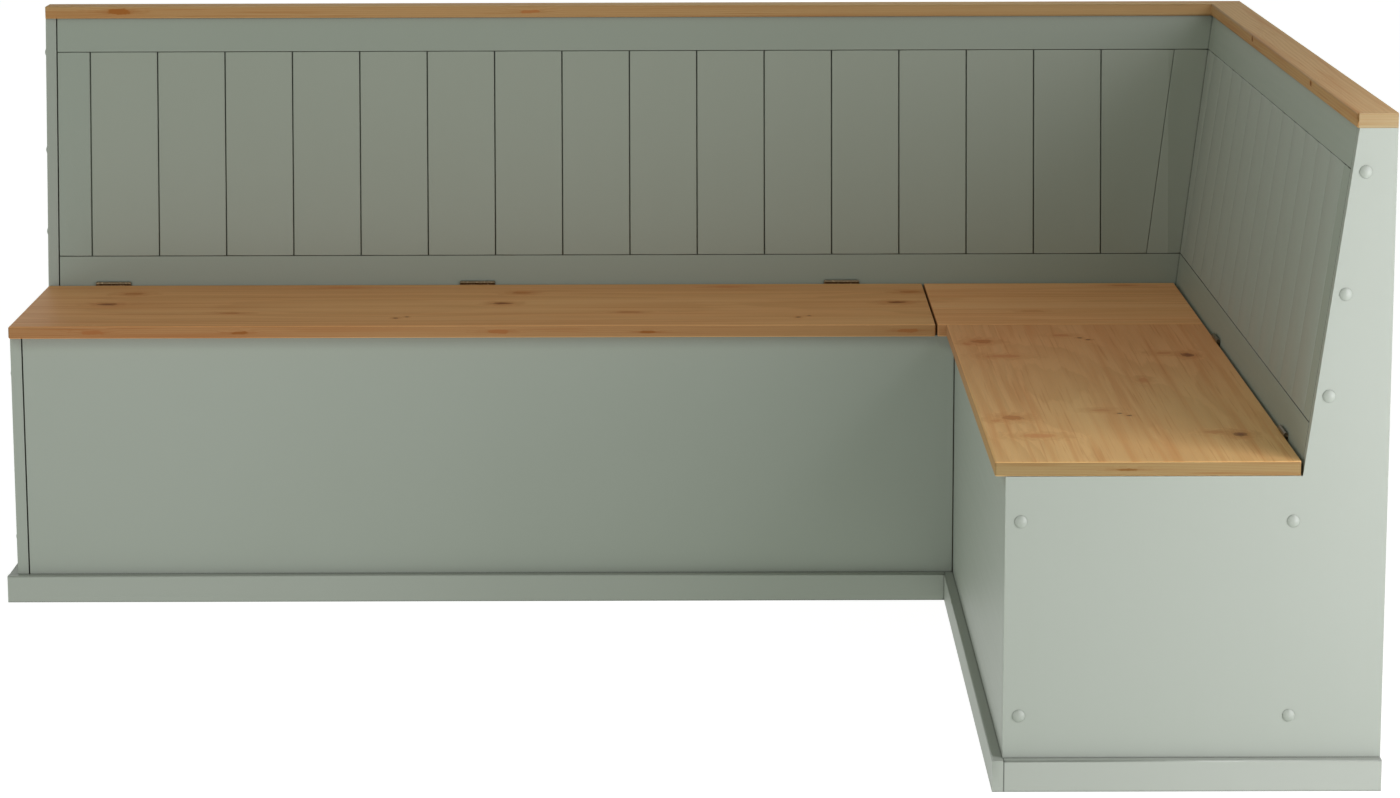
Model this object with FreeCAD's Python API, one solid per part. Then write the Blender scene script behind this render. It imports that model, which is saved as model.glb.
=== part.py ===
import FreeCAD, Part
import math
import os
from collections import namedtuple

# Corner storage bench: two seat boxes that meet in the corner of a room, a sloping boarded
# backrest along both walls under a cap rail, and a hinged lid on each box.
#
# Every piece is drawn in the frame of its own leg: s runs along the leg from the room's
# corner, w runs out from the wall that the leg stands against, and z is up.
# place() turns that into the bench's frame: +X to the right along the long leg, +Y to the
# long leg's wall, and the origin on the floor under the middle of the bench's outline.

os.makedirs("parts", exist_ok=True)

# Driving sizes, in millimetres
long_length = 2060.0
short_length = 1640.0
leg_depth = 520.0
overall_height = 935.0
seat_height = 460.0
face_at_cap = 52.0
face_at_seat = 113.5
board = 18.0
facing = 12.0

# Cap rail
cap_width = 56.0
cap_thickness = 20.0
cap_round = 3.0

# Lids and the fixed corner seat
lid_thickness = 20.0
lid_overhang = 15.0
lid_round = 3.0
lid_rear_gap = 5.0
lid_gap = 2.5
split_offset = 31.0
lid_batten_width = 45.0
lid_batten_inset = 170.0
lid_batten_clearance = 20.0

# Plinth
plinth_thickness = 15.0
plinth_height = 44.0
plinth_round = 2.0

# Battens, cleats and box floors
batten = 18.0
batten_width = 34.0
batten_lap = 20.0
crossbar_width = 60.0
floor_thickness = 12.0

# Backrest boards
frame_width = 58.0
bottom_rail_rise = 50.0
bottom_rail_drop = 65.0
long_plank_pitch = 116.0
short_plank_pitch = 118.0
shadow_gap = 2.0
front_butt_gap = 1.2
vee_width = 3.0
vee_depth = 3.0
plank_gap = 0.3
fine_vee_width = 1.6
fine_vee_depth = 1.6
tongue_length = 6.0
tongue_thickness = 3.5
tongue_clearance = 0.2

# Screws through the end panels, and their caps
end_screw_length = 45.0
end_screw_radius = 3.5
end_screw_head_radius = 5.0
end_screw_head_depth = 4.0
end_screw_inset = 21.5
post_screw_inset = 18.0
box_screw_shares = (0.857, 0.236)
post_screw_shares = (0.87, 0.505, 0.198)
screw_cap_radius = 8.5
screw_cap_height = 4.2
screw_cap_rim = 1.0

# Small screws, in the hinges and through the seat's back panels
small_screw_length = 16.0
small_screw_radius = 1.75
small_screw_head_radius = 3.2
small_screw_head_depth = 2.0
back_screw_length = 26.0
back_screw_pitch = 300.0
screw_clearance = 0.1

# Hinges
hinge_length = 60.0
leaf_thickness = 1.0
leaf_margin = 4.5
knuckle_radius = 3.0
knuckle_count = 5
knuckle_gap = 0.3
knuckle_clearance = 0.45
knuckle_rise = 0.5
pin_radius = 1.25
pin_clearance = 0.05
leaf_screw_spread_shares = (-1 / 3, 0, 1 / 3)
long_hinge_end_inset = 113.0
long_hinge_corner_inset = 139.0
short_hinge_end_inset = 195.0
short_hinge_corner_inset = 152.0

# Cutters run past what they cut by this much
overrun = 5.0
touch = 0.001

# Levels and places that follow from the sizes above
cap_underside = overall_height - cap_thickness
box_top = seat_height - lid_thickness
slope = (face_at_seat - face_at_cap) / (cap_underside - seat_height)
lean = math.atan(slope)
seat_back = face_at_seat + lid_rear_gap
panel_back = leg_depth - facing
seat_front = leg_depth + lid_overhang
floor_top = plinth_height + floor_thickness
long_split = leg_depth + split_offset
top_rail_edge = cap_underside - frame_width * math.cos(lean)
bottom_rail_edge = seat_height + bottom_rail_rise
rail_foot = seat_height - bottom_rail_drop
backing = facing + batten
origin = FreeCAD.Vector(long_length + plinth_thickness, short_length + plinth_thickness, 0) / 2

Leg = namedtuple(
    "Leg",
    "name mirrored length front_start plinth_start back_start divider_middle lid_start "
    "plank_pitch hinge_end_inset hinge_corner_inset hinge_count rib_count lid_batten_count",
)
long_leg = Leg(
    name="long",
    mirrored=False,
    length=long_length,
    front_start=leg_depth + front_butt_gap,
    plinth_start=leg_depth + plinth_thickness,
    back_start=seat_back,
    divider_middle=long_split,
    lid_start=long_split + lid_gap / 2,
    plank_pitch=long_plank_pitch,
    hinge_end_inset=long_hinge_end_inset,
    hinge_corner_inset=long_hinge_corner_inset,
    hinge_count=3,
    rib_count=2,
    lid_batten_count=3,
)
short_leg = Leg(
    name="short",
    mirrored=True,
    length=short_length,
    front_start=panel_back,
    plinth_start=leg_depth,
    back_start=seat_back + board,
    divider_middle=seat_front + lid_gap / 2,
    lid_start=seat_front + lid_gap,
    plank_pitch=short_plank_pitch,
    hinge_end_inset=short_hinge_end_inset,
    hinge_corner_inset=short_hinge_corner_inset,
    hinge_count=2,
    rib_count=1,
    lid_batten_count=2,
)


# Shapes in a leg's frame
def block(s0, s1, w0, w1, z0, z1):
    """Square-cut board between two places on each axis."""
    return Part.makeBox(s1 - s0, w1 - w0, z1 - z0, FreeCAD.Vector(s0, w0, z0))


def prism(points, along):
    """Flat outline of points, extruded by a vector."""
    return Part.Face(Part.makePolygon(points + points[:1])).extrude(along)


def side_prism(outline, s0, s1):
    """Outline of (w, z) points, extruded along the leg."""
    points = [FreeCAD.Vector(s0, w, z) for w, z in outline]
    return prism(points, FreeCAD.Vector(s1 - s0, 0, 0))


def face_w(z):
    """Distance of the backrest's face from the wall at height z."""
    return face_at_cap + slope * (cap_underside - z)


def on_face(s, z, depth=0):
    """Point square behind the backrest's face, from the face's point at s and height z."""
    return FreeCAD.Vector(s, face_w(z) - depth * math.cos(lean), z - depth * math.sin(lean))


def level_behind(z, depth):
    """(w, z) at height z on the plane that lies depth behind the backrest's face."""
    return face_w(z) - depth / math.cos(lean), z


def face_panel(corners, near, far):
    """Board with its (s, z) corners on the backrest's face, between two depths behind it."""
    points = [on_face(s, z, near) for s, z in corners]
    return prism(points, on_face(0, 0, far) - on_face(0, 0, near))


def corner_side():
    """The leg's own side of the diagonal plane through the room's corner."""
    reach = long_length + short_length
    plan = [FreeCAD.Vector(s, w, 0) for s, w in ((0, 0), (reach, 0), (reach, reach))]
    return prism(plan, FreeCAD.Vector(0, 0, overall_height + overrun))


def below_cap(shape):
    """Cuts a backrest piece level under the cap rail."""
    reach = long_length + short_length
    return shape.common(block(-reach, reach, -reach, reach, 0, cap_underside))


def vee(start, end, width, depth):
    """V-shaped cutter along a joint on the backrest's face."""
    along = (end - start).normalize()
    out = FreeCAD.Vector(0, math.cos(lean), math.sin(lean))
    side = along.cross(out) * (width / 2 * (1 + overrun / depth))
    first = start - along * overrun
    mouth = first + out * overrun
    points = [first - out * depth, mouth + side, mouth - side]
    return prism(points, end - start + along * 2 * overrun)


def rounded(shape, radius, planes):
    """Rounds the edges that lie on any of the planes, each an axis number and a place on it."""
    edges = [
        edge
        for edge in shape.Edges
        if any(all(abs(v.Point[axis] - at) < touch for v in edge.Vertexes) for axis, at in planes)
    ]
    return shape.makeFillet(radius, edges)


def spread(first, last, count):
    """Evenly spaced places from first to last, or the middle for a single one."""
    if count == 1:
        return [(first + last) / 2]
    return [first + (last - first) * i / (count - 1) for i in range(count)]


# Screws: a countersunk head flush at the start point, and a round shank
Screw = namedtuple("Screw", "length radius head_radius head_depth")
end_screw = Screw(end_screw_length, end_screw_radius, end_screw_head_radius, end_screw_head_depth)
leaf_screw = Screw(
    small_screw_length, small_screw_radius, small_screw_head_radius, small_screw_head_depth
)
back_screw = leaf_screw._replace(length=back_screw_length)


def driven(kind, start, direction, clearance=0):
    """A screw driven from start along direction, or its hole where a clearance is given."""
    head = Part.makeCone(
        kind.head_radius + clearance,
        kind.radius + clearance,
        kind.head_depth,
        start,
        direction,
    )
    shank = Part.makeCylinder(kind.radius + clearance, kind.length + clearance, start, direction)
    if clearance:
        mouth = Part.makeCylinder(kind.head_radius + clearance, overrun, start, -direction)
        head = head.fuse(mouth)
    return head.fuse(shank).removeSplitter()


def drilled(shape, kind, places):
    """Shape with the holes for screws driven at (start, direction) places."""
    for start, direction in places:
        shape = shape.cut(driven(kind, start, direction, screw_clearance))
    return shape


def along_leg(sign):
    return FreeCAD.Vector(sign, 0, 0)


def inner_face(leg):
    """Place of the end panel's inner face."""
    return leg.length - board


def box_screws(leg):
    """Screws from the end panel into the front batten and the seat's back panel."""
    rows = (leg_depth - end_screw_inset, seat_back + board / 2)
    heights = [box_top * share for share in box_screw_shares]
    return [(FreeCAD.Vector(leg.length, w, z), along_leg(-1)) for w in rows for z in heights]


def post_height(share):
    return seat_height + (cap_underside - seat_height) * share


def post_screws(leg):
    """Screws from the end panel into the backrest's end upright."""
    places = []
    for share in post_screw_shares:
        z = post_height(share)
        places.append((FreeCAD.Vector(leg.length, face_w(z) - post_screw_inset, z), along_leg(-1)))
    return places


def rail_meeting():
    """Height at which the backrest's face reaches the rear of the seat's back panel."""
    return cap_underside - (seat_back - face_at_cap) / slope


def back_screws(leg):
    """Screws from inside the box, through the back panel, into the foot of the bottom rail."""
    run = inner_face(leg) - leg.lid_start
    count = max(2, round(run / back_screw_pitch))
    inset = run / count / 2
    z = (rail_foot + rail_meeting()) / 2
    places = spread(leg.lid_start + inset, inner_face(leg) - inset, count)
    return [(FreeCAD.Vector(s, seat_back + board, z), FreeCAD.Vector(0, -1, 0)) for s in places]


# Hinge places
hinge_z = seat_height + knuckle_rise + knuckle_radius
hinge_w = face_w(hinge_z) + (knuckle_radius + knuckle_clearance) / math.cos(lean)
leaf_foot = box_top + leaf_margin
leaf_screw_z = (leaf_foot + seat_height) / 2


def hinge_middles(leg):
    first = leg.lid_start + leg.hinge_corner_inset
    return spread(first, leg.length - leg.hinge_end_inset, leg.hinge_count)


def fixed_leaf_screws(leg):
    """Screws through the backrest's leaves, square into the bottom rail."""
    inward = FreeCAD.Vector(0, -math.cos(lean), -math.sin(lean))
    return [
        (on_face(middle + hinge_length * share, leaf_screw_z, -leaf_thickness), inward)
        for middle in hinge_middles(leg)
        for share in leaf_screw_spread_shares
    ]


def lid_leaf_screws(leg):
    """Screws through the lid's leaves, level into the lid's rear edge."""
    return [
        (
            FreeCAD.Vector(middle + hinge_length * share, seat_back - leaf_thickness, leaf_screw_z),
            FreeCAD.Vector(0, 1, 0),
        )
        for middle in hinge_middles(leg)
        for share in leaf_screw_spread_shares
    ]


# Carcass
def end_panel(leg):
    """L-shaped side that carries the box and the backrest."""
    outline = [
        (0, 0),
        (leg_depth, 0),
        (leg_depth, box_top),
        (face_w(box_top), box_top),
        (face_at_cap, cap_underside),
        (0, cap_underside),
    ]
    panel = side_prism(outline, inner_face(leg), leg.length)
    return drilled(panel, end_screw, box_screws(leg) + post_screws(leg))


def front_panel(leg):
    return block(
        leg.front_start, inner_face(leg) - shadow_gap, panel_back, leg_depth, 0, box_top
    )


def seat_back_panel(leg):
    panel = block(leg.back_start, inner_face(leg), seat_back, seat_back + board, 0, box_top)
    panel = drilled(panel, end_screw, box_screws(leg))
    return drilled(panel, back_screw, back_screws(leg))


def divider(leg):
    middle = leg.divider_middle
    return block(
        middle - board / 2, middle + board / 2, seat_back + board, panel_back, 0, box_top
    )


def box_floor(leg):
    start = leg.divider_middle + board / 2
    return block(start, inner_face(leg), seat_back + board, panel_back, plinth_height, floor_top)


def floor_cleats(leg):
    """Ledges under the box floor, along its four sides."""
    start, end = leg.divider_middle + board / 2, inner_face(leg)
    back, front = seat_back + board, panel_back
    low = plinth_height - batten
    return [
        block(start, end, back, back + batten, low, plinth_height),
        block(start, end, front - batten, front, low, plinth_height),
        block(start, start + batten, back + batten, front - batten, low, plinth_height),
        block(end - batten, end, back + batten, front - batten, low, plinth_height),
    ]


def front_end_batten(leg):
    """Upright that joins the front panel to the end panel."""
    end = inner_face(leg)
    upright = block(end - batten_width, end, panel_back - batten, panel_back, floor_top, box_top)
    return drilled(upright, end_screw, box_screws(leg))


def inner_corner_batten():
    """Upright behind the end of the long front panel and that of the short one beside it."""
    end = long_leg.divider_middle - board / 2
    return block(panel_back, end, panel_back - batten, panel_back, 0, box_top)


def corner_seat_board():
    """Fixed seat in the corner, between the two lids."""
    end = long_split - lid_gap / 2
    seat = block(seat_back, end, seat_back, seat_front, box_top, seat_height)
    return rounded(seat, lid_round, [(0, end), (1, seat_front)])


def corner_seat_cleat(leg):
    """Ledge on the divider's corner side, under the fixed seat."""
    end = leg.divider_middle - board / 2
    back, front = seat_back + board + batten, panel_back - batten
    return block(end - batten, end, back, front, box_top - batten, box_top)


def end_plinth(leg):
    strip = block(leg.length, leg.length + plinth_thickness, 0, leg_depth, 0, plinth_height)
    return rounded_top(strip, 0, leg.length + plinth_thickness)


def front_plinth(leg):
    end = leg.length + plinth_thickness
    front = leg_depth + plinth_thickness
    strip = block(leg.plinth_start, end, leg_depth, front, 0, plinth_height)
    return rounded_top(strip, 1, front)


def rounded_top(strip, axis, at):
    """Rounds the one edge where a plinth's outer face meets its top."""
    edges = [
        edge
        for edge in strip.Edges
        if all(abs(v.Point[axis] - at) < touch for v in edge.Vertexes)
        and all(abs(v.Point.z - plinth_height) < touch for v in edge.Vertexes)
    ]
    return strip.makeFillet(plinth_round, edges)


# Backrest
def board_end(leg):
    """Where the backrest's boards stop, a shadow gap short of the end panel."""
    return inner_face(leg) - shadow_gap


def stile_joint(z):
    """Place of the joint between the corner stile and the last plank at height z."""
    return face_w(z) + frame_width


def plank_joints(leg):
    """Joints from the end stile towards the corner, short of the slanting corner stile."""
    joints = []
    s = inner_face(leg) - frame_width
    while s > stile_joint(bottom_rail_edge) + batten_lap:
        joints.append(s)
        s -= leg.plank_pitch
    return joints


def rail_vees(leg):
    """Fine cutters along the joints of the two rails with the boards between them."""
    return [
        vee(on_face(0, z), on_face(leg.length, z), fine_vee_width, fine_vee_depth)
        for z in (top_rail_edge, bottom_rail_edge)
    ]


def joint_vee(s):
    low, high = on_face(s, bottom_rail_edge), on_face(s, top_rail_edge)
    return vee(low, high, vee_width, vee_depth)


def stile_vee():
    """Fine cutter along the corner stile's slanting joint."""
    low = on_face(stile_joint(bottom_rail_edge), bottom_rail_edge)
    high = on_face(stile_joint(top_rail_edge), top_rail_edge)
    return vee(low, high, fine_vee_width, fine_vee_depth)


def top_rail(leg):
    corners = [
        (0, top_rail_edge),
        (board_end(leg), top_rail_edge),
        (board_end(leg), overall_height),
        (0, overall_height),
    ]
    rail = below_cap(face_panel(corners, 0, facing)).common(corner_side())
    return rail.cut(rail_vees(leg)[0])


def bottom_rail(leg):
    """Rail whose foot is planed upright against the seat's back panel."""
    upper_front = on_face(0, bottom_rail_edge)
    upper_back = on_face(0, bottom_rail_edge, facing)
    outline = [
        (upper_front.y, upper_front.z),
        (seat_back, rail_meeting()),
        (seat_back, rail_foot),
        level_behind(rail_foot, facing),
        (upper_back.y, upper_back.z),
    ]
    rail = side_prism(outline, 0, board_end(leg)).common(corner_side()).cut(rail_vees(leg)[1])
    rail = drilled(rail, leaf_screw, fixed_leaf_screws(leg))
    return drilled(rail, back_screw, back_screws(leg))


def upright_board(s0, s1):
    """Rectangle of the backrest's face between the rails."""
    corners = [
        (s0, bottom_rail_edge),
        (s1, bottom_rail_edge),
        (s1, top_rail_edge),
        (s0, top_rail_edge),
    ]
    return face_panel(corners, 0, facing)


def tongue_depths(clearance):
    middle = (vee_depth + facing) / 2
    half = tongue_thickness / 2 + clearance
    return middle - half, middle + half


def joint_strip(s0, s1, clearance):
    """Tongue between two places, or the cutter for its slot where a clearance is given."""
    rise = overrun if clearance else 0
    low, high = bottom_rail_edge - rise, top_rail_edge + rise
    corners = [(s0, low), (s1, low), (s1, high), (s0, high)]
    return face_panel(corners, *tongue_depths(clearance))


def slot(s, sign):
    """Cutter for the slot at a joint, into the board on the side that sign gives."""
    far = s + sign * (tongue_length + tongue_clearance)
    return joint_strip(s - sign * overrun, far, tongue_clearance)


def end_stile(leg):
    joint = inner_face(leg) - frame_width
    stile = upright_board(joint, board_end(leg))
    return cut_all(stile, [slot(joint, 1), joint_vee(joint)] + rail_vees(leg))


def cut_all(shape, cutters):
    for cutter in cutters:
        shape = shape.cut(cutter)
    return shape


def planks(leg):
    """Tongued boards from the end stile to the corner stile, the last one cut to its slant.

    All but the last stop a gap short of the next board, so that they have room to swell.
    """
    joints = plank_joints(leg)
    made = []
    for high, low in zip(joints, joints[1:]):
        plank = upright_board(low + plank_gap, high)
        plank = plank.fuse(joint_strip(high, high + tongue_length, 0))
        made.append(cut_all(plank, [slot(low, 1), joint_vee(low), joint_vee(high)]))
    last = joints[-1]
    corners = [
        (stile_joint(bottom_rail_edge), bottom_rail_edge),
        (last, bottom_rail_edge),
        (last, top_rail_edge),
        (stile_joint(top_rail_edge), top_rail_edge),
    ]
    tapered = face_panel(corners, 0, facing).fuse(joint_strip(last, last + tongue_length, 0))
    made.append(cut_all(tapered, [joint_vee(last), stile_vee()]))
    return [cut_all(plank, rail_vees(leg)).removeSplitter() for plank in made]


def corner_stile(leg):
    """Board beside the mitre in the corner, with a slanting joint to the last plank."""
    corners = [
        (0, bottom_rail_edge),
        (stile_joint(bottom_rail_edge), bottom_rail_edge),
        (stile_joint(top_rail_edge), top_rail_edge),
        (0, top_rail_edge),
    ]
    stile = face_panel(corners, 0, facing).common(corner_side())
    return cut_all(stile, [stile_vee()] + rail_vees(leg))


def backing_joint(z):
    """Place of the joint between the corner upright and the crossbars at height z."""
    return stile_joint(z) + batten_lap


def end_upright(leg):
    """Batten behind the end stile, screwed to the end panel."""
    start, end = inner_face(leg) - batten_width, inner_face(leg)
    corners = [(start, box_top), (end, box_top), (end, overall_height), (start, overall_height)]
    upright = below_cap(face_panel(corners, facing, backing))
    return drilled(upright, end_screw, post_screws(leg))


def corner_upright():
    """Batten behind the corner stile and its joint, mitred against the other leg's."""
    corners = [
        (0, box_top),
        (backing_joint(box_top), box_top),
        (backing_joint(overall_height), overall_height),
        (0, overall_height),
    ]
    return below_cap(face_panel(corners, facing, backing)).common(corner_side())


def crossbars(leg):
    """Level battens behind both rails' joints and behind the middle of the planks."""
    end = inner_face(leg) - batten_width
    middle = post_height(post_screw_shares[1])
    levels = [
        (box_top, bottom_rail_edge + batten_lap),
        (middle - crossbar_width / 2, middle + crossbar_width / 2),
        (top_rail_edge - batten_lap, overall_height),
    ]
    bars = []
    for low, high in levels:
        corners = [(backing_joint(low), low), (end, low), (end, high), (backing_joint(high), high)]
        bars.append(below_cap(face_panel(corners, facing, backing)))
    bars[0] = drilled(bars[0], leaf_screw, fixed_leaf_screws(leg))
    return bars


def rear_ribs(leg):
    """Boards on edge between the wall and the backrest, notched round its battens."""
    outline = [
        (0, 0),
        (seat_back, 0),
        (seat_back, rail_foot),
        level_behind(rail_foot, backing),
        level_behind(cap_underside, backing),
        (0, cap_underside),
    ]
    bays = leg.rib_count + 1
    places = spread(0, leg.length, bays + 1)[1:-1]
    return [side_prism(outline, s - board / 2, s + board / 2) for s in places]


def cap_rail(leg):
    rail = block(0, leg.length, 0, cap_width, cap_underside, overall_height)
    rail = rounded(rail, cap_round, [(1, cap_width)])
    return rail.common(corner_side())


# Lids
def lid(leg):
    slab = block(leg.lid_start, leg.length, seat_back, seat_front, box_top, seat_height)
    slab = rounded(slab, lid_round, [(0, leg.lid_start), (0, leg.length), (1, seat_front)])
    return drilled(slab, leaf_screw, lid_leaf_screws(leg))


def lid_battens(leg):
    """Cross battens under the lid, clear of the box's walls as the lid turns."""
    back = seat_back + board + lid_batten_clearance
    front = panel_back - lid_batten_clearance
    first, last = leg.lid_start + lid_batten_inset, leg.length - lid_batten_inset
    half = lid_batten_width / 2
    return [
        block(s - half, s + half, back, front, box_top - batten, box_top)
        for s in spread(first, last, leg.lid_batten_count)
    ]


# Hinges
def hinge_rod(s0, s1, radius):
    start = FreeCAD.Vector(s0, hinge_w, hinge_z)
    return Part.makeCylinder(radius, s1 - s0, start, along_leg(1))


def knuckle_spans(middle, own):
    """(start, end) of every other knuckle, from the first where own is 0 and the second where 1."""
    pitch = hinge_length / knuckle_count
    start = middle - hinge_length / 2
    half_gap = knuckle_gap / 2
    return [
        (start + pitch * i + half_gap, start + pitch * (i + 1) - half_gap)
        for i in range(own, knuckle_count, 2)
    ]


def leaf(plate, middle, own):
    """Leaf of a hinge: its plate with its own knuckles on, cut clear of the other leaf's."""
    for s0, s1 in knuckle_spans(middle, 1 - own):
        room = hinge_rod(s0 - knuckle_gap, s1 + knuckle_gap, knuckle_radius + knuckle_clearance)
        plate = plate.cut(room)
    for s0, s1 in knuckle_spans(middle, own):
        plate = plate.fuse(hinge_rod(s0, s1, knuckle_radius))
    bore = hinge_rod(middle - hinge_length, middle + hinge_length, pin_radius + pin_clearance)
    return plate.cut(bore).removeSplitter()


def fixed_leaves(leg):
    """Leaves on the backrest's face."""
    made = []
    for middle in hinge_middles(leg):
        s0, s1 = middle - hinge_length / 2, middle + hinge_length / 2
        corners = [(s0, leaf_foot), (s1, leaf_foot), (s1, hinge_z), (s0, hinge_z)]
        plate = face_panel(corners, -leaf_thickness, 0)
        made.append(drilled(leaf(plate, middle, 0), leaf_screw, fixed_leaf_screws(leg)))
    return made


def lid_leaves(leg):
    """Leaves on the lid's rear edge."""
    made = []
    for middle in hinge_middles(leg):
        s0, s1 = middle - hinge_length / 2, middle + hinge_length / 2
        plate = block(s0, s1, seat_back - leaf_thickness, seat_back, leaf_foot, hinge_z)
        made.append(drilled(leaf(plate, middle, 1), leaf_screw, lid_leaf_screws(leg)))
    return made


def hinge_pins(leg):
    half = hinge_length / 2
    return [hinge_rod(s - half, s + half, pin_radius) for s in hinge_middles(leg)]


# Fasteners
def screws(kind, places):
    return [driven(kind, start, direction) for start, direction in places]


def screw_caps(leg):
    """Domes on a low rim over the heads of the end panel's screws."""
    dome = screw_cap_height - screw_cap_rim
    sphere_radius = (screw_cap_radius**2 + dome**2) / (2 * dome)
    lowest = math.degrees(math.asin(1 - dome / sphere_radius))
    made = []
    for start, direction in box_screws(leg) + post_screws(leg):
        centre = start + direction * (sphere_radius - screw_cap_height)
        top = Part.makeSphere(sphere_radius, centre, -direction, lowest, 90, 360)
        rim = Part.makeCylinder(screw_cap_radius, screw_cap_rim, start, -direction)
        made.append(top.fuse(rim).removeSplitter())
    return made


# Output
def place(shape, leg):
    """Turns a shape from its leg's frame into the bench's frame."""
    if leg.mirrored:
        shape = shape.mirror(FreeCAD.Vector(0, 0, 0), FreeCAD.Vector(1, -1, 0))
    placed = shape.copy()
    placed.rotate(FreeCAD.Vector(0, 0, 0), FreeCAD.Vector(0, 0, 1), 180)
    placed.translate(origin)
    return placed


def save(node, leg, shapes):
    """Writes one node, with each of its pieces a separate solid."""
    shapes = shapes if isinstance(shapes, list) else [shapes]
    solids = [solid for shape in shapes for solid in place(shape, leg).Solids]
    if len(solids) != len(shapes):
        raise ValueError(f"{node} has {len(solids)} solids for {len(shapes)} pieces")
    shape = solids[0] if len(solids) == 1 else Part.makeCompound(solids)
    shape.exportStep(f"parts/{node}.step")


def save_leg(leg):
    name = leg.name
    save(f"{name}_end_panel", leg, end_panel(leg))
    save(f"{name}_front_panel", leg, front_panel(leg))
    save(f"{name}_seat_back_panel", leg, seat_back_panel(leg))
    save(f"{name}_divider", leg, divider(leg))
    save(f"{name}_box_floor", leg, box_floor(leg))
    save(f"{name}_floor_cleats", leg, floor_cleats(leg))
    save(f"{name}_front_end_batten", leg, front_end_batten(leg))
    save(f"{name}_end_plinth", leg, end_plinth(leg))
    save(f"{name}_front_plinth", leg, front_plinth(leg))
    save(f"{name}_backrest_top_rail", leg, top_rail(leg))
    save(f"{name}_backrest_bottom_rail", leg, bottom_rail(leg))
    save(f"{name}_backrest_end_stile", leg, end_stile(leg))
    save(f"{name}_backrest_planks", leg, planks(leg))
    save(f"{name}_backrest_corner_stile", leg, corner_stile(leg))
    save(f"{name}_backrest_uprights", leg, [end_upright(leg), corner_upright()])
    save(f"{name}_backrest_crossbars", leg, crossbars(leg))
    save(f"{name}_rear_ribs", leg, rear_ribs(leg))
    save(f"{name}_cap_rail", leg, cap_rail(leg))
    save(f"{name}_lid", leg, lid(leg))
    save(f"{name}_lid_battens", leg, lid_battens(leg))
    save(f"{name}_hinge_fixed_leaves", leg, fixed_leaves(leg))
    save(f"{name}_hinge_lid_leaves", leg, lid_leaves(leg))
    save(f"{name}_hinge_pins", leg, hinge_pins(leg))
    save(f"{name}_hinge_fixed_screws", leg, screws(leaf_screw, fixed_leaf_screws(leg)))
    save(f"{name}_hinge_lid_screws", leg, screws(leaf_screw, lid_leaf_screws(leg)))
    save(f"{name}_back_screws", leg, screws(back_screw, back_screws(leg)))
    save(f"{name}_end_screws", leg, screws(end_screw, box_screws(leg) + post_screws(leg)))
    save(f"{name}_end_screw_caps", leg, screw_caps(leg))


save_leg(long_leg)
save_leg(short_leg)
save("inner_corner_batten", long_leg, inner_corner_batten())
save("corner_seat_board", long_leg, corner_seat_board())
save("corner_seat_long_cleat", long_leg, corner_seat_cleat(long_leg))
save("corner_seat_short_cleat", short_leg, corner_seat_cleat(short_leg))
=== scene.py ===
import math
from collections import namedtuple

import bmesh
import bpy
from mathutils import Matrix, Vector

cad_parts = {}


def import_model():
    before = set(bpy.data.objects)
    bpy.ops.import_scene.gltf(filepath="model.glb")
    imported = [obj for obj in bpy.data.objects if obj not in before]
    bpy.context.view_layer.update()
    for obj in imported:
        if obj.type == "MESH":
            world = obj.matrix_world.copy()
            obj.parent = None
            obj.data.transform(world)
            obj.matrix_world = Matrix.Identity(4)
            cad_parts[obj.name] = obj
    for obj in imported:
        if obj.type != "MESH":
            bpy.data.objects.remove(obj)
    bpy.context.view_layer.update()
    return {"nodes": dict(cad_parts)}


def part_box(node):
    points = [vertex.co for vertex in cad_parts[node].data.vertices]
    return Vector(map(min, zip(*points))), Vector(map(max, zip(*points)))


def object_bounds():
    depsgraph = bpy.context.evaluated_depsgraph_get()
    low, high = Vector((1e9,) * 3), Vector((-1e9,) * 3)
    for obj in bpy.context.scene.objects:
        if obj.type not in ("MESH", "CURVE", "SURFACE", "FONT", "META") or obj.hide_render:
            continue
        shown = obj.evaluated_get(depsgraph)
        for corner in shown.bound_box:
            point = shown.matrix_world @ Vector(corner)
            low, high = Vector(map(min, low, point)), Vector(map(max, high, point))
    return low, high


# Corner storage bench: its paint, timber and metal, the floor, the lamps and the camera.
# Lengths are in metres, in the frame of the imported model: +X runs to the right along the
# long leg, +Y to the long leg's wall, and +Z up.
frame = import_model()
nodes = frame["nodes"]

# Camera: the photograph's width and the focal length in pixels, where it stands, how it is
# turned in degrees, and its sensor in millimetres
photo_width = 1400
camera_place = Vector((0.1054, -6.2263, 1.5809))
camera_yaw, camera_down, camera_roll = -0.0313, 10.7968, 0.1571
focal_pixels = 4070.9
sensor_width = 36.0

# Arrises, rounded on the boards, and the shortest edge that has one. Points nearer than the
# weld are joined first, and faces that turn less than the flat angle, in degrees, are one face.
arris = 0.0008
arris_segments = 2
shortest_arris = 0.004
weld_distance = 0.00001
flat_angle = 0.5

# Paint: the height of its brush marks, and how rough it is
brush_height = 0.00002
paint_roughness = (0.44, 0.56)

# Corners where two painted boards meet, and how far from them the paint carries painted shade
corner_reach = 0.005

# Butt joint at the corner of the plinth, and how far its dark line reaches
butt_line = 0.0025

# Painted shade under overhangs, such as the lids' front edges: how far up a face looks for
# one, and the tint that darkens it
overhang_reach = 0.03
overhang_painted_shade = (0.76, 0.76, 0.76, 1.0)

# Distance between the joints of the backrest's planks, and the slope of a plank's face at its
# edges: above zero where the face is crowned, and below where it is hollow
plank_pitch = {"long": 0.116, "short": 0.118}
plank_slope = {"long": -0.08, "short": 0.25}

# Growth rings: how far the pith wanders to each side within a stave and from one stave to the
# next, how far below the board it lies, how far the rings ripple, and how far a knot pushes them
pith_sway = 0.03
pith_offset = 0.05
pith_depth = (0.04, 0.08)
ring_ripple = 0.0016
ring_push = 0.004

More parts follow.
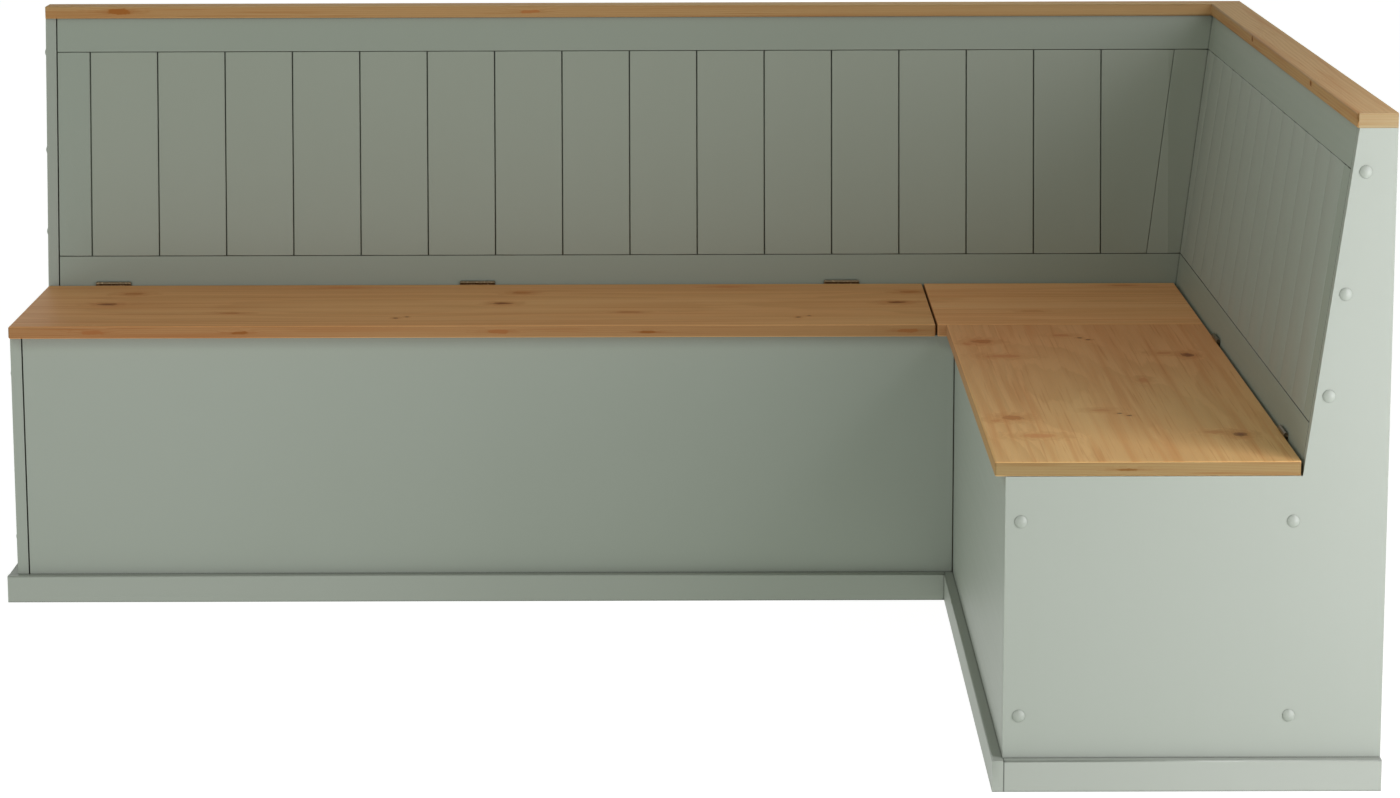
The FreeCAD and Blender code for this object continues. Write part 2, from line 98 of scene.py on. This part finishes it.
# Height of the timber's grain, and of the grain of metal and moulded plastic
timber_grain = 0.00003
metal_grain = 0.00002
moulded_grain = 0.00001

# Steps to other places in the same noise, so that two patterns or two staves aren't alike
depth_shift = (5, 0, 0)
band_shift = (11, 0, 0)
stave_shift_along = 7.0
stave_shift_through = 3.0

# A knot this deep goes through a lid, and a stave this wide makes a piece of one board
lid_depth = 0.05
one_board = 4.0

# Floor and studio light: how strongly the floor glows on the bench, and how bright it is seen
floor_size = 80.0
floor_drop = 0.0002
ambient = 0.285
ambient_tint = (0.89, 1.0, 0.84, 1.0)
floor_glow = 0.37
floor_seen = 0.93
lamp_tint = (1.0, 0.965, 1.04)
lamp_aim = Vector((0.3, 0.0, 0.4))
key_aim = Vector((0.7, -0.55, 0.46))


def colour(red, green, blue):
    """Linear colour, from the three parts out of 255 that a screen shows."""
    parts = [part / 255 for part in (red, green, blue)]
    return tuple(p / 12.92 if p <= 0.04045 else ((p + 0.055) / 1.055) ** 2.4 for p in parts) + (1.0,)


# Tones
white = (1.0, 1.0, 1.0, 1.0)
floor_white = colour(240, 240, 240)
floor_shade = colour(150, 150, 150)
paint_tones = {
    "light": colour(160, 166, 157),
    "dark": colour(157, 163, 153),
}
# Dark colour of joint lines, also used as painted shade in corners and grooves
dark_joint_and_painted_shade = colour(70, 74, 66)
# Multipliers on the paint's tones: painted light on the plinths, and painted shade on the backrests'
# rails, stiles and planks
plinth_painted_light = (1.06, 1.04, 1.06)
frame_painted_shade = (0.90, 0.93, 0.90)
plank_painted_shade = {"long": (0.94, 0.95, 0.91), "short": (1.0, 1.0, 1.0)}
pine_tones = {
    "early": colour(214, 158, 95),
    "late": colour(194, 134, 74),
    "warm": colour(200, 131, 70),
    "pale": colour(220, 169, 105),
    "flame": colour(190, 118, 58),
}
knot_tones = {
    "faint": colour(222, 135, 75),
    "red": colour(200, 122, 58),
    "dark": colour(164, 98, 42),
    "heart": colour(108, 58, 24),
}
pale_end_tint = (0.66, 0.74, 0.80, 1.0)
# Darker ends of the long lid and the corner seat: darker end grain, and painted shade in the gap between
# them
dark_ends_and_gap_shade = (0.70, 0.62, 0.55, 1.0)
short_lid_fade = (1.03, 1.20, 1.23, 1.0), (0.99, 0.89, 0.97, 1.0)
cap_end_tint = (0.77, 1.00, 1.24, 1.0)
# Painted shade on the cap rails' upright faces: the share of the tone that they keep
cap_upright_painted_shade = 0.65
raw_tones = {
    "early": colour(212, 190, 156),
    "late": colour(190, 160, 120),
    "warm": colour(202, 170, 128),
    "pale": colour(220, 200, 168),
    "flame": colour(180, 138, 98),
}
bronze = colour(100, 88, 68)
rubbed_bronze = colour(150, 132, 104)
zinc = colour(170, 170, 166)
rubbed_zinc = colour(196, 196, 192)
metal_roughness = (0.26, 0.42)
moulded_roughness = (0.36, 0.44)


# Camera
def photo_camera():
    """A view close to the photograph's, with no shift."""
    data = bpy.data.cameras.new("photo_camera")
    data.sensor_width = sensor_width
    data.lens = focal_pixels * sensor_width / photo_width
    yaw, down, roll = (math.radians(angle) for angle in (camera_yaw, camera_down, camera_roll))
    level = Vector((math.cos(yaw), -math.sin(yaw), 0))
    ahead = Vector((math.sin(yaw), math.cos(yaw), 0)) * math.cos(down)
    ahead.z = -math.sin(down)
    below = ahead.cross(level)
    right = level * math.cos(roll) + below * math.sin(roll)
    up = level * math.sin(roll) - below * math.cos(roll)
    turned = Matrix((right, up, -ahead)).transposed().to_4x4()
    camera = bpy.data.objects.new("photo_camera", data)
    camera.matrix_world = Matrix.Translation(camera_place) @ turned
    bpy.context.scene.collection.objects.link(camera)
    bpy.context.scene.camera = camera


def tinted(tones, red, green, blue):
    """The same tones, with the parts of their colours multiplied."""
    return {name: (r * red, g * green, b * blue, 1.0) for name, (r, g, b, _) in tones.items()}


def reordered(vector, order):
    """The vector's parts, in the order that the letters give."""
    return Vector([vector["xyz".index(letter)] for letter in order])


# Node trees
class Graph:
    """A node tree that is written as expressions. Most methods give back a socket."""

    def __init__(self, tree):
        self.nodes = tree.nodes
        self.links = tree.links

    def feed(self, socket, value):
        if isinstance(value, bpy.types.NodeSocket):
            self.links.new(value, socket)
        else:
            socket.default_value = value

    def node(self, kind, *values, **settings):
        """Adds a node, with its settings, and feeds its inputs in their order."""
        node = self.nodes.new(kind)
        for key, value in settings.items():
            setattr(node, key, value)
        for socket, value in zip(node.inputs, values):
            self.feed(socket, value)
        return node

    def math(self, operation, *values):
        return self.node("ShaderNodeMath", *values, operation=operation).outputs[0]

    def vector(self, operation, *values):
        node = self.node("ShaderNodeVectorMath", *values, operation=operation)
        return node.outputs["Value" if operation == "LENGTH" else "Vector"]

    def joined(self, *parts):
        return self.node("ShaderNodeCombineXYZ", *parts).outputs[0]

    def parts(self, vector, order="xyz"):
        """The vector's parts, in the order that the letters give."""
        split = self.node("ShaderNodeSeparateXYZ", vector).outputs
        return [split["xyz".index(letter)] for letter in order]

    def noise(self, place, scale=(1, 1, 1), detail=2.0):
        """Noise whose features are about one unit across, once place is scaled."""
        node = self.node("ShaderNodeTexNoise", self.vector("MULTIPLY", place, scale))
        node.inputs["Scale"].default_value = 1.0
        node.inputs["Detail"].default_value = detail
        return node.outputs[0]

    def chance(self, value):
        """A random number from 0 to 1 for each whole value."""
        node = self.node("ShaderNodeTexWhiteNoise", noise_dimensions="1D")
        self.feed(node.inputs["W"], value)
        return node.outputs["Value"]

    def step(self, value, low, high, first=0.0, last=1.0):
        """Smooth change from first to last while value goes from low to high."""
        kind = "ShaderNodeMapRange"
        return self.node(kind, value, low, high, first, last, interpolation_type="SMOOTHSTEP").outputs[0]

    def span(self, value, first, last):
        """Value from 0 to 1, stretched to go from first to last."""
        return self.math("MULTIPLY_ADD", value, last - first, first)

    def between(self, share, first, second):
        """The number that lies at this share of the way from first to second."""
        return self.math("MULTIPLY_ADD", share, self.math("SUBTRACT", second, first), first)

    def mix(self, share, first, second):
        """The colour that lies at this share of the way from first to second."""
        node = self.node("ShaderNodeMix", data_type="RGBA")
        self.feed(node.inputs[0], share)
        self.feed(node.inputs[6], first)
        self.feed(node.inputs[7], second)
        return node.outputs[2]

    def seen(self):
        """1 on the rays that see the plain background, and 0 on those that light the bench."""
        path = self.node("ShaderNodeLightPath").outputs
        straight = self.math("MAXIMUM", path["Is Camera Ray"], path["Is Glossy Ray"])
        return self.math("MAXIMUM", straight, path["Is Transmission Ray"])


class Finish(Graph):
    """A material's node tree, with the surface that it ends in."""

    def __init__(self, name):
        self.material = bpy.data.materials.new(name)
        self.material.use_nodes = True
        super().__init__(self.material.node_tree)
        self.surface = self.nodes["Principled BSDF"]
        coordinates = self.node("ShaderNodeTexCoord").outputs
        self.place = coordinates["Object"]
        self.facing = coordinates["Normal"]

    def openness(self, distance, way=None):
        """1 on open surfaces, and down to about a half in a corner, within this distance.

        With a way, it looks that way instead of square to the surface.
        """
        node = self.node("ShaderNodeAmbientOcclusion", samples=8)
        node.inputs["Distance"].default_value = distance
        if way:
            self.feed(node.inputs["Normal"], self.joined(*way))
        return node.outputs["AO"]

    def bump(self, height, distance=1.0):
        """Raises the surface by a height, which counts in units of this distance."""
        node = self.node("ShaderNodeBump")
        node.inputs["Distance"].default_value = distance
        self.feed(node.inputs["Height"], height)
        self.links.new(node.outputs[0], self.surface.inputs["Normal"])

    def shader(self, **values):
        """Sets or feeds the surface's own inputs, named with underscores for spaces."""
        for key, value in values.items():
            self.feed(self.surface.inputs[key.replace("_", " ")], value)


# Paint
def paint(name, order, joints="", planks=None, shade=(1.0, 1.0, 1.0), butt=None):
    """Satin sage paint, laid off along the board.

    The order names the axes along, across and through the board. The paint has painted shade in
    corners, painted shade and dirt on faces towards the axes that joints names, and painted shade
    under an overhang. A shade multiplies its tones, as painted light or painted shade on a group
    of boards. For planks, given as their axis, first joint, pitch and slope, each face is a little
    crowned or hollow across. A butt, given as its axis and place, is the low end, where the board
    meets another at a dark line.
    """
    f = Finish(name)
    tones = tinted(paint_tones, *shade)
    laid = f.joined(*f.parts(f.place, order))
    strokes = f.noise(laid, (3, 130, 130))
    grain = f.noise(f.place, (900, 900, 900))
    cloud = f.noise(f.place, (4, 4, 4))
    tint = f.mix(f.between(0.3, cloud, strokes), tones["dark"], tones["light"])
    # Painted shade and dirt on the walls of grooves and joints that face the named axes
    for part in f.parts(f.facing, joints):
        tint = f.mix(f.step(f.math("ABSOLUTE", part), 0.4, 0.6), tint, dark_joint_and_painted_shade)
    # Painted shade in the corners where boards meet
    tint = f.mix(f.step(f.openness(corner_reach), 0.5, 0.8, 0.7, 0.0), tint, dark_joint_and_painted_shade)
    if butt:
        axis, end = butt
        off = f.math("SUBTRACT", f.parts(f.place, axis)[0], end)
        tint = f.mix(f.step(off, butt_line / 2, butt_line, 0.8, 0.0), tint, dark_joint_and_painted_shade)
    # Painted shade under an overhang, found by looking straight up from the surface
    overhang_shade_share = f.step(f.openness(overhang_reach, way=(0, 0, 1)), 0.15, 0.33, 1.0, 0.0)
    tint = f.vector("MULTIPLY", tint, f.mix(overhang_shade_share, white, overhang_painted_shade))
    f.shader(Base_Color=tint, Roughness=f.span(strokes, *paint_roughness))
    height = f.math("MULTIPLY", f.between(0.6, strokes, grain), brush_height)
    if planks:
        axis, joint, pitch, slope = planks
        counted = f.math("DIVIDE", f.math("SUBTRACT", f.parts(f.place, axis)[0], joint), pitch)
        off = f.math("SUBTRACT", f.math("FRACT", counted), 0.5)
        height = f.math("MULTIPLY_ADD", f.math("MULTIPLY", off, off), -slope * pitch, height)
    f.bump(height)
    return f.material


# Timber
cap_tones = tinted(pine_tones, 1.20, 1.42, 1.95)

# A knot lies at shares of its board's length, width and height, from the low ends, and has its
# sizes along the grain, across it and through the board.
Knot = namedtuple("Knot", "along across height length width depth kind")
knot_core = {"faint": 0.62, "red": 0.88, "dark": 0.95}
knot_tail = {"faint": 0.35, "red": 0.55, "dark": 0.6}
tail_stretch = 0.4


def knot_reaches(f, place, size, knots):
    """For each kind of knot, how far the nearest is, in its own half sizes, and how far its tail is."""
    reaches = {}
    for knot in knots:
        middle = Vector([(share - 0.5) * side for share, side in zip(knot[:3], size)])
        scale = Vector([2 / side for side in knot[3:6]])
        tail_scale = Vector((scale.x * tail_stretch, scale.y * tail_stretch, scale.z))
        for name, factors in ((knot.kind, scale), (knot.kind + " tail", tail_scale)):
            offset = [-m * s for m, s in zip(middle, factors)]
            reach = f.vector("LENGTH", f.vector("MULTIPLY_ADD", place, factors, offset))
            reaches[name] = f.math("MINIMUM", reaches[name], reach) if name in reaches else reach
    return reaches


def growth_rings(f, place, luck, across, ring, pushed):
    """Share of dark late wood, from rings round a pith that wanders below the board."""
    sway = f.noise(place, (0.8, 2.5, 2.5))
    depth = f.noise(f.vector("ADD", place, depth_shift), (0.7, 2, 2))
    ripple = f.noise(place, (5, 40, 40), 3)
    swayed = f.span(sway, -pith_sway, pith_sway)
    side = f.math("ADD", across, f.math("ADD", swayed, f.span(luck, -pith_offset, pith_offset)))
    below = f.math("ADD", f.parts(place)[2], f.span(depth, *pith_depth))
    radius = f.vector("LENGTH", f.joined(side, below, 0.0))
    rippled = f.span(ripple, -ring_ripple, ring_ripple)
    radius = f.math("ADD", radius, f.math("ADD", rippled, pushed))
    phase = f.math("FRACT", f.math("DIVIDE", radius, ring))
    return f.math("SUBTRACT", f.step(phase, 0.15, 0.88), f.step(phase, 0.90, 1.0))


def wood(
    name, order, box, knots, seed, tones, stave=0.26, ring=0.0036, roughness=0.5, gloss=0.02,
    upright_painted_shade=0.49, ends=white, fade=None,
):
    """Sawn timber: staves side by side, each with its own growth rings and streaks, and knots.

    The order names the axes along, across and through the board. Upright faces keep a share of
    the tone, as painted shade, and the ends have a tint of their own. A fade gives the tints that
    the board's tone has at its low and its high end.
    """
    f = Finish(name)
    low, high = (reordered(corner, order) for corner in box)
    size = high - low
    place = f.vector("SUBTRACT", f.joined(*f.parts(f.place, order)), (low + high) / 2)
    along, across, through = f.parts(place)
    along_face, _, top_face = (f.math("ABSOLUTE", part) for part in f.parts(f.facing, order))
    end_face = f.step(along_face, 0.6, 0.8)
    upright_face = f.step(top_face, 0.8, 0.4)

    # The figure of the ends runs across the board, as on a lipping
    run = f.between(end_face, along, across)
    wide = f.between(end_face, across, along)
    counted = f.math("ADD", f.math("DIVIDE", wide, stave), seed + 0.5)
    index = f.math("FLOOR", counted)
    luck = f.chance(index)
    local = f.math("MULTIPLY", f.math("SUBTRACT", f.math("FRACT", counted), 0.5), stave)
    run = f.math("MULTIPLY_ADD", luck, stave_shift_along, run)
    deep = f.math("MULTIPLY_ADD", luck, stave_shift_through, through)
    grain = f.joined(run, wide, deep)

    reaches = knot_reaches(f, place, size, knots)
    wobble = f.span(f.noise(place, (80, 140, 140)), 0.4, 1.6)
    reaches = {kind: f.math("MULTIPLY", reach, wobble) for kind, reach in reaches.items()}
    pushed = 0.0
    for kind in knot_core:
        if kind in reaches:
            pushed = f.math("ADD", f.step(reaches[kind], 4.0, 0.6, 0.0, ring_push), pushed)

    late = growth_rings(f, grain, luck, local, ring, pushed)
    line = f.noise(grain, (5, 260, 260))
    streak = f.noise(grain, (1.6, 70, 70), 3)
    band = f.noise(f.vector("ADD", grain, band_shift), (0.9, 16, 16))
    fibre = f.noise(grain, (26, 900, 900), 3)
    tint = f.mix(f.math("MULTIPLY", late, 0.4), tones["early"], tones["late"])
    tint = f.mix(f.step(streak, 0.46, 0.68, 0.0, 0.65), tint, tones["warm"])
    tint = f.mix(f.step(line, 0.56, 0.74, 0.0, 0.6), tint, tones["flame"])
    tint = f.mix(f.step(band, 0.45, 0.75, 0.0, 0.7), tint, tones["pale"])
    shade = f.math("MULTIPLY", f.span(fibre, 0.94, 1.06), f.span(luck, 0.98, 1.02))
    tint = f.vector("MULTIPLY", tint, shade)
    for kind in knot_core:
        if kind in reaches:
            tail = f.step(reaches[kind + " tail"], 1.5, 0.3, 0.0, knot_tail[kind])
            core = f.step(reaches[kind], 1.3, 0.9, 0.0, knot_core[kind])
            tint = f.mix(core, f.mix(tail, tint, tones["flame"]), knot_tones[kind])
    if "dark" in reaches:
        tint = f.mix(f.step(reaches["dark"], 0.8, 0.3, 0.0, 0.7), tint, knot_tones["heart"])
    # Painted shade: upright faces keep a share of the tone
    tint = f.vector("MULTIPLY", tint, f.span(upright_face, 1.0, upright_painted_shade))
    tint = f.vector("MULTIPLY", tint, f.mix(end_face, white, ends))
    if fade:
        tint = f.vector("MULTIPLY", tint, f.mix(f.step(along, -size.x / 2, size.x / 2), *fade))

    f.shader(
        Base_Color=tint,
        Roughness=f.span(fibre, roughness - 0.06, roughness + 0.06),
        Specular_IOR_Level=gloss,
    )
    f.bump(f.between(0.5, late, fibre), timber_grain)
    return f.material


def repeated(knots, pitch, count):
    """The same knots again further along the board, as in boards sawn from one log."""
    return [knot._replace(along=knot.along + pitch * turn) for turn in range(count) for knot in knots]


long_lid_knots = repeated([
    Knot(0.105, 0.79, 1, 0.030, 0.020, lid_depth, "red"),
    Knot(0.087, 0.53, 1, 0.028, 0.018, lid_depth, "dark"),
    Knot(0.229, 0.31, 1, 0.034, 0.010, lid_depth, "red"),
    Knot(0.337, 0.93, 1, 0.040, 0.014, lid_depth, "faint"),
    Knot(0.414, 0.18, 1, 0.008, 0.008, lid_depth, "dark"),
    Knot(0.426, 0.21, 1, 0.006, 0.006, lid_depth, "dark"),
    Knot(0.091, 0.00, 0.5, 0.030, 0.020, 0.006, "faint"),
    Knot(0.250, 0.00, 0.45, 0.026, 0.030, 0.004, "red"),
], 0.439, 3)
corner_seat_knots = [
    Knot(0.381, 0.31, 1, 0.034, 0.010, lid_depth, "faint"),
    Knot(0.789, 0.94, 1, 0.040, 0.014, lid_depth, "faint"),
]
short_lid_knots = repeated([
    Knot(0.285, 0.114, 1, 0.028, 0.027, lid_depth, "red"),
    Knot(0.264, 0.052, 1, 0.012, 0.012, lid_depth, "faint"),
    Knot(0.165, 0.174, 1, 0.022, 0.040, lid_depth, "faint"),
    Knot(0.313, 0.491, 1, 0.007, 0.008, lid_depth, "dark"),
    Knot(0.298, 0.520, 1, 0.007, 0.007, lid_depth, "dark"),
    Knot(0.334, 0.429, 1, 0.016, 0.024, lid_depth, "faint"),
    Knot(0.171, 0.861, 1, 0.028, 0.018, lid_depth, "dark"),
    Knot(0.187, 0.779, 1, 0.018, 0.024, lid_depth, "faint"),
], 0.572, 2) + [
    Knot(0.553, 0.640, 1, 0.030, 0.012, lid_depth, "faint"),
    Knot(0.000, 0.431, 0.45, 0.030, 0.027, 0.003, "red"),
]
long_cap_knots = [
    Knot(0.062, 0.00, 0.60, 0.036, 0.020, 0.009, "red"),
    Knot(0.405, 0.00, 0.50, 0.030, 0.020, 0.005, "faint"),
]
short_cap_knots = [
    Knot(0.641, 0.00, 0.65, 0.012, 0.020, 0.008, "dark"),
    Knot(0.257, 0.00, 0.65, 0.012, 0.020, 0.008, "dark"),
]


# Metal and plastic
def metal(name, tint, rubbed):
    """Metal whose finish is worn in soft patches."""
    f = Finish(name)
    worn = f.noise(f.place, (260, 260, 260), 3)
    f.shader(
        Base_Color=f.mix(f.step(worn, 0.5, 0.75), tint, rubbed),
        Roughness=f.span(worn, *metal_roughness),
        Metallic=1.0,
    )
    f.bump(worn, metal_grain)
    return f.material


def moulded(name):
    """Smooth moulded plastic in the paint's colour."""
    f = Finish(name)
    cloud = f.noise(f.place, (300, 300, 300))
    tint = f.mix(cloud, paint_tones["dark"], paint_tones["light"])
    f.shader(Base_Color=tint, Roughness=f.span(cloud, *moulded_roughness))
    f.bump(cloud, moulded_grain)
    return f.material


# Finishing the model's pieces
def round_arrises(piece):
    """Rounds the long edges between a board's faces, which come split from each other."""
    mesh = piece.data
    shape = bmesh.new()
    shape.from_mesh(mesh)
    weights = [float(edge.is_boundary and edge.calc_length() > shortest_arris) for edge in shape.edges]
    shape.free()
    mesh.attributes.new("bevel_weight_edge", "FLOAT", "EDGE").data.foreach_set("value", weights)
    mesh.shade_smooth()
    weld = piece.modifiers.new("weld", "WELD")
    weld.merge_threshold = weld_distance
    flatten = piece.modifiers.new("flatten", "DECIMATE")
    flatten.decimate_type = "DISSOLVE"
    flatten.angle_limit = math.radians(flat_angle)
    bevel = piece.modifiers.new("arris", "BEVEL")
    bevel.limit_method = "WEIGHT"
    bevel.width = arris
    bevel.segments = arris_segments
    piece.modifiers.new("normals", "WEIGHTED_NORMAL")


def finish(names, material, rounded=True):
    """Gives nodes a material and, where asked, rounded arrises."""
    for name in names:
        piece = nodes[name]
        piece.data.materials.clear()
        piece.data.materials.append(material)
        if rounded:
            round_arrises(piece)


def both(*names):
    """Node names on both legs."""
    return [f"{leg}_{name}" for leg in ("long", "short") for name in names]


def finish_panels():
    panels = {
        "zxy": both("end_panel"),
        "xyz": ["long_front_panel", "long_seat_back_panel", "short_divider"],
        "yxz": ["short_front_panel", "short_seat_back_panel", "long_divider"],
    }
    for order, names in panels.items():
        finish(names, paint("paint_" + order, order))


def finish_plinths(leg, order, across):
    """The front plinth runs through to the corner, and the end plinth butts behind it."""
    front = f"{leg}_front_plinth"
    finish([front], paint("paint_" + front, order, shade=plinth_painted_light))
    end = f"{leg}_end_plinth"
    axis = across[0]
    butt = axis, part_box(end)[0]["xyz".index(axis)]
    finish([end], paint("paint_" + end, across, shade=plinth_painted_light, butt=butt))


def finish_backrest(leg, order, stile_joints):
    """The rails, the planks, whose first joint is at the end stile, and both stiles."""
    rails = [f"{leg}_backrest_{name}" for name in ("top_rail", "bottom_rail")]
    finish(rails, paint(f"paint_{leg}_rails", order, joints="z", shade=frame_painted_shade))
    stile = f"{leg}_backrest_end_stile"
    axis = order[0]
    planks = axis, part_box(stile)[1]["xyz".index(axis)], plank_pitch[leg], plank_slope[leg]
    boards = [f"{leg}_backrest_{name}" for name in ("planks", "corner_stile")]
    made = paint(f"paint_{leg}_planks", "zxy", joints="z", planks=planks, shade=plank_painted_shade[leg])
    finish(boards, made)
    finish([stile], paint(f"paint_{leg}_end_stile", "zxy", joints=stile_joints, shade=frame_painted_shade))


def finish_pine():
    """The lids and the corner seat, and the cap rails, each with a seed of its own."""
    seats = {
        "long_lid": ("xyz", long_lid_knots, (1.27, 1.25, 1.55), dark_ends_and_gap_shade, None),
        # The corner seat's tints are lighter than the long lid's, as painted light for the shade in the
        # corner
        "corner_seat_board": ("xyz", corner_seat_knots, (1.50, 1.45, 1.90), dark_ends_and_gap_shade, None),
        "short_lid": ("yxz", short_lid_knots, (1.36, 1.37, 1.61), pale_end_tint, short_lid_fade),
    }
    for seed, (name, (order, knots, tint, ends, fade)) in enumerate(seats.items()):
        finish([name], wood(
            "pine_" + name, order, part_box(name), knots, seed, tinted(pine_tones, *tint),
            gloss=0.10, ends=ends, fade=fade,
        ))
    caps = {"long_cap_rail": ("xyz", long_cap_knots), "short_cap_rail": ("yxz", short_cap_knots)}
    for seed, (name, (order, knots)) in enumerate(caps.items(), len(seats)):
        finish([name], wood(
            "pine_" + name, order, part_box(name), knots, seed, cap_tones,
            upright_painted_shade=cap_upright_painted_shade, ends=cap_end_tint,
        ))


def finish_raw_timber():
    """Sawn battens behind the backrests and inside the seats, and the boxes' plywood floors."""
    raw = {
        "zxy": ["short_backrest_uprights", "long_rear_ribs", "long_front_end_batten"],
        "zyx": [
            "long_backrest_uprights", "short_rear_ribs", "short_front_end_batten",
            "inner_corner_batten",
        ],
        "xyz": ["long_backrest_crossbars", "short_lid_battens"],
        "yxz": [
            "short_backrest_crossbars", "long_lid_battens",
            "corner_seat_long_cleat", "corner_seat_short_cleat",
        ],
    }
    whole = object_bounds()
    for order, names in raw.items():
        finish(names, wood(
            "raw_" + order, order, whole, knots=(), seed=11, tones=raw_tones,
            stave=one_board, roughness=0.62, upright_painted_shade=1.0,
        ))
    finish(both("floor_cleats"), bpy.data.materials["raw_yxz"], rounded=False)
    finish(both("box_floor"), wood(
        "plywood", "xyz", whole, knots=(), seed=5, tones=raw_tones,
        stave=one_board, ring=0.016, roughness=0.6, upright_painted_shade=1.0,
    ))


def finish_metal():
    pieces = ("fixed_leaves", "lid_leaves", "pins", "fixed_screws", "lid_screws")
    hinges = both(*(f"hinge_{piece}" for piece in pieces))
    finish(hinges, metal("bronze", bronze, rubbed_bronze), rounded=False)
    screws = both("back_screws", "end_screws")
    finish(screws, metal("zinc", zinc, rubbed_zinc), rounded=False)


def finish_caps():
    finish(both("end_screw_caps"), moulded("screw_cap"), rounded=False)


# Studio
def floor():
    """Pale floor, seen as a white background with a soft shadow."""
    mesh = bpy.data.meshes.new("floor")
    half = floor_size / 2
    corners = [(-half, -half, 0), (half, -half, 0), (half, half, 0), (-half, half, 0)]
    mesh.from_pydata(corners, [], [(0, 1, 2, 3)])
    piece = bpy.data.objects.new("floor", mesh)
    piece.location.z = -floor_drop
    bpy.context.scene.collection.objects.link(piece)
    f = Finish("floor")
    seen = f.seen()
    f.shader(
        Base_Color=f.mix(seen, floor_white, floor_shade),
        Roughness=0.9,
        Specular_IOR_Level=0.0,
        Emission_Color=f.mix(seen, ambient_tint, white),
        Emission_Strength=f.span(seen, floor_glow, floor_seen),
    )
    piece.data.materials.append(f.material)


def world():
    """Even light all round, behind a white background."""
    made = bpy.data.worlds.new("studio")
    bpy.context.scene.world = made
    made.use_nodes = True
    g = Graph(made.node_tree)
    background = g.nodes["Background"]
    seen = g.seen()
    g.feed(background.inputs["Color"], g.mix(seen, ambient_tint, white))
    g.feed(background.inputs["Strength"], g.span(seen, ambient, 1.0))


def lamp(name, aim, turn, height, distance, size, power):
    """Soft square lamp, turned to the right of the bench's front and raised, in degrees."""
    turn, height = math.radians(turn), math.radians(height)
    away = Vector((math.sin(turn), -math.cos(turn), 0)) * math.cos(height)
    away.z = math.sin(height)
    data = bpy.data.lights.new(name, "AREA")
    data.size = size
    data.energy = power
    data.color = lamp_tint
    made = bpy.data.objects.new(name, data)
    made.location = aim + away * distance
    made.rotation_euler = (-away).to_track_quat("-Z", "Y").to_euler()
    made.visible_camera = False
    bpy.context.scene.collection.objects.link(made)


photo_camera()
finish_panels()
for leg, order, across, stile_joints in (("long", "xyz", "yxz", "z"), ("short", "yxz", "xyz", "yz")):
    finish_plinths(leg, order, across)
    finish_backrest(leg, order, stile_joints)
finish_pine()
finish_raw_timber()
finish_metal()
finish_caps()
floor()
world()
lamp("key", key_aim, turn=42, height=31, distance=2.3, size=1.2, power=20.5)
lamp("fill", lamp_aim, turn=40, height=0, distance=2.8, size=1.2, power=27)
lamp("left_fill", lamp_aim, turn=-45, height=0, distance=2.8, size=1.2, power=14.5)

bpy.context.scene.view_settings.view_transform = "Standard"
